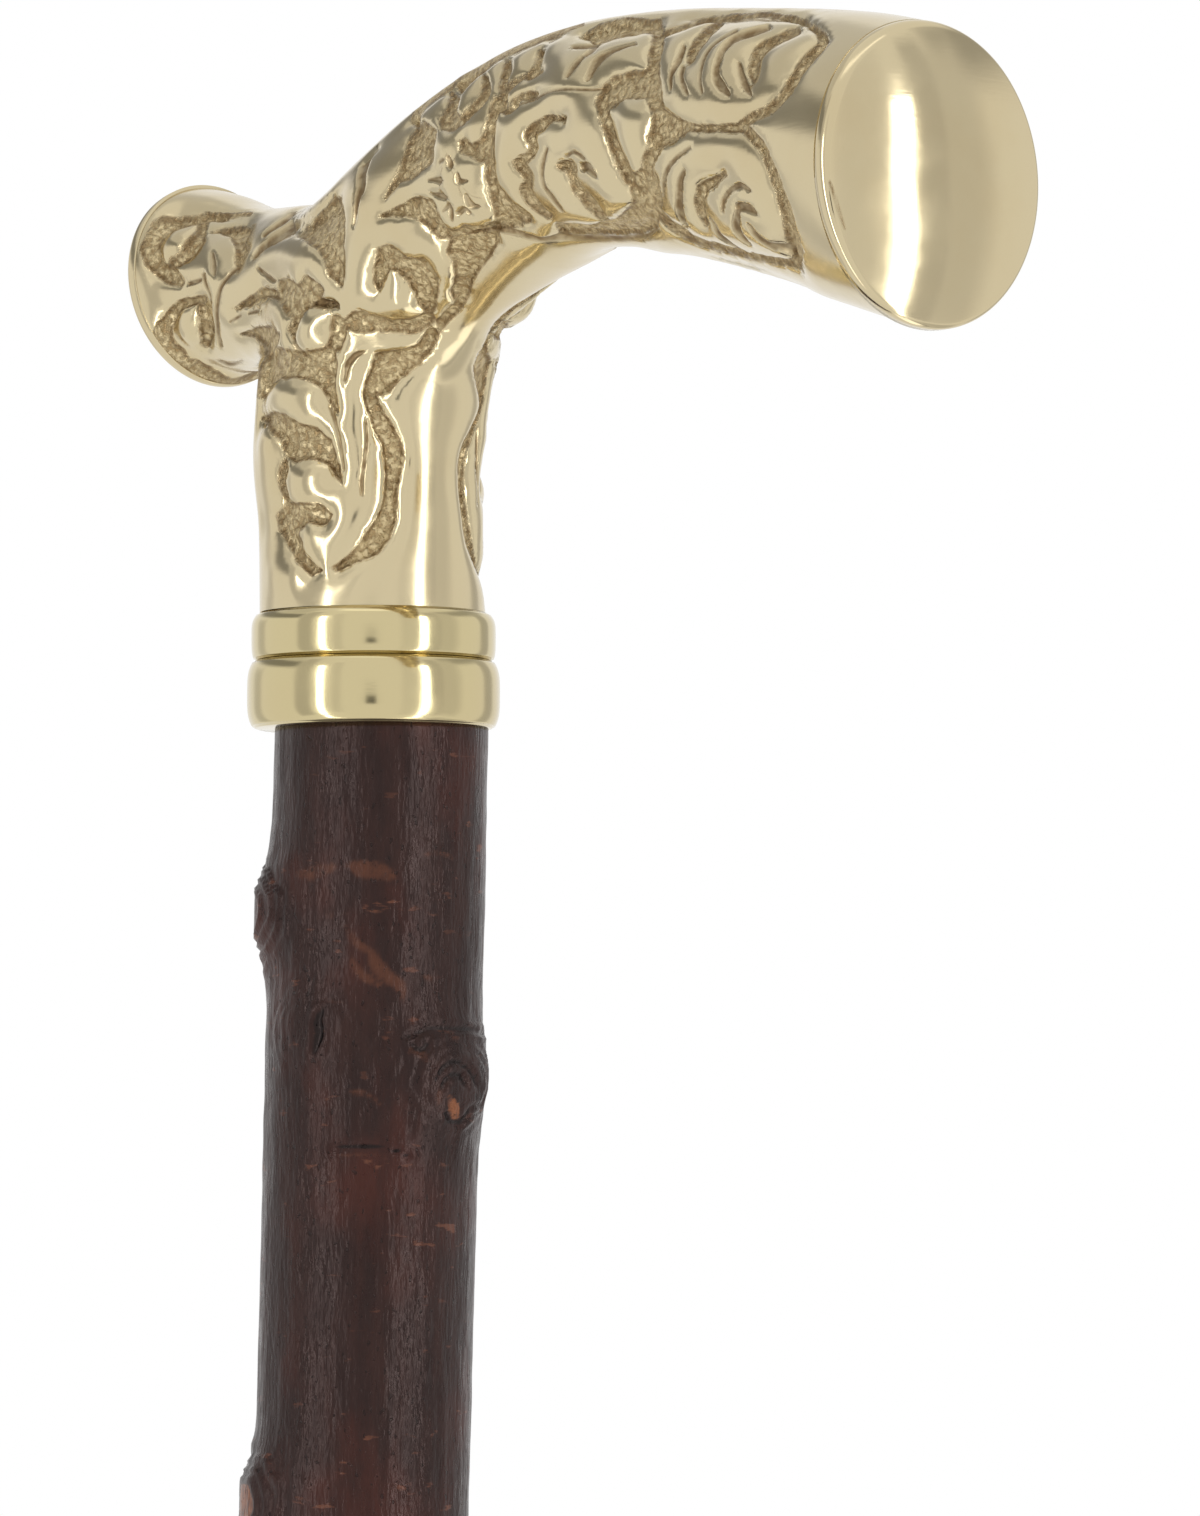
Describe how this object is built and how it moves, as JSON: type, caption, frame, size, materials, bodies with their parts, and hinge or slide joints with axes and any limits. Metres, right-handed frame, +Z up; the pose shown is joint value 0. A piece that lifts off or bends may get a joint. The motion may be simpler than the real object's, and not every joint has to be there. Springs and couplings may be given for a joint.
{
  "type": "walking stick",
  "caption": "Blackthorn walking stick: knotty bark-on shaft, hollow cast brass handle with foliate scroll relief and domed ends, turned brass rings and a rubber tip.",
  "frame": {"origin": "centre of the rubber tip's ground face", "axes": "+Z up the stick along the axis of the neck and rings, +X the way the nose of the handle points, XZ the handle's plane of symmetry"},
  "size_m": [0.135, 0.033, 0.914],
  "materials": {
    "brass": "polished, with brown patina in the recesses of the relief",
    "blackthorn": "bark left on, satin varnish",
    "steel": "zinc plated",
    "rubber": "moulded, matt"
  },
  "bodies": {
    "root": {"handle_casting": "brass", "nose_cap": "brass", "tail_cap": "brass", "neck_ring": "brass", "shaft_collar": "brass", "joining_stud": "steel", "shaft": "blackthorn", "tip_washer": "steel", "rubber_tip": "rubber"}
  },
  "joints": []
}
